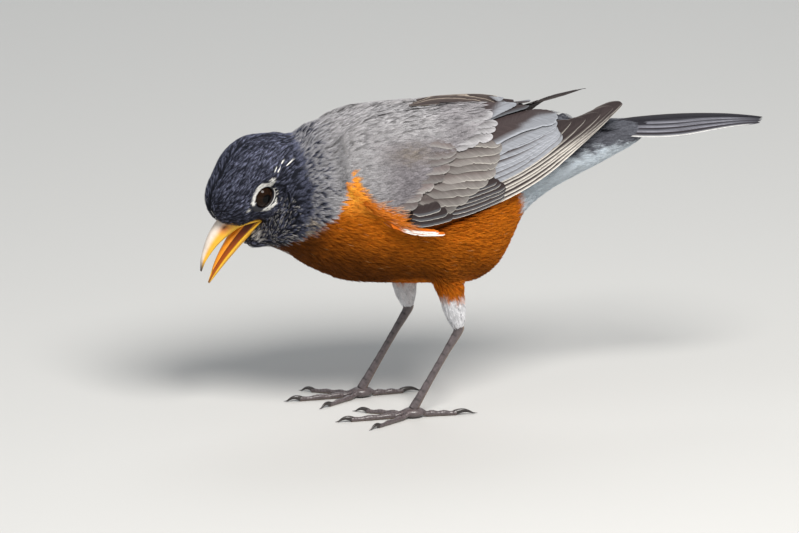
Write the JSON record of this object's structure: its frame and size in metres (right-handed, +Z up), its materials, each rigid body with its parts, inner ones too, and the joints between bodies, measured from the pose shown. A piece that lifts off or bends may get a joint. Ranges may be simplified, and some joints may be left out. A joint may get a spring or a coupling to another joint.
{
  "type": "american robin",
  "caption": "Life-size still model of an American robin standing and stooping, its open bill turned down to the ground at its left side.",
  "frame": {"origin": "on the floor under the middle of the bird's box", "axes": "+X from head to tail, -Y the bird's left side, +Z up"},
  "size_m": [0.2296, 0.0694, 0.1244],
  "materials": {
    "hood_plumage": "soft dense black feathers with a faint blue gloss",
    "mantle_plumage": "soft grey feathers with darker shafts",
    "breast_plumage": "soft rust-orange feathers",
    "wing_plumage": "smooth stiff brown-grey feathers with pale edges",
    "tail_plumage": "smooth stiff blackish feathers",
    "shank_plumage": "short soft feathers, rusty above and whitish below",
    "bill_horn": "satin yellow horn with a dark tip",
    "mouth_lining": "moist orange skin",
    "eye": "wet, very dark brown",
    "leg_scales": "satin overlapping horny scutes",
    "claw_horn": "satin dark horn"
  },
  "bodies": {
    "root": {"bill_lower": "bill_horn", "bill_upper": "bill_horn", "claw_left_1": "claw_horn", "claw_left_2": "claw_horn", "claw_left_3": "claw_horn", "claw_left_4": "claw_horn", "claw_right_1": "claw_horn", "claw_right_2": "claw_horn", "claw_right_3": "claw_horn", "claw_right_4": "claw_horn", "eye_left": "eye", "eye_right": "eye", "head": "hood_plumage", "neck": "mantle_plumage", "shank_left": "shank_plumage", "shank_right": "shank_plumage", "tail": "tail_plumage", "tarsus_left": "leg_scales", "tarsus_right": "leg_scales", "toe_left_1": "leg_scales", "toe_left_2": "leg_scales", "toe_left_3": "leg_scales", "toe_left_4": "leg_scales", "toe_right_1": "leg_scales", "toe_right_2": "leg_scales", "toe_right_3": "leg_scales", "toe_right_4": "leg_scales", "tongue": "mouth_lining", "trunk": "breast_plumage", "wing_left_coverts": "wing_plumage", "wing_left_primaries": "wing_plumage", "wing_left_secondaries": "wing_plumage", "wing_right_coverts": "wing_plumage", "wing_right_primaries": "wing_plumage", "wing_right_secondaries": "wing_plumage"}
  },
  "joints": []
}
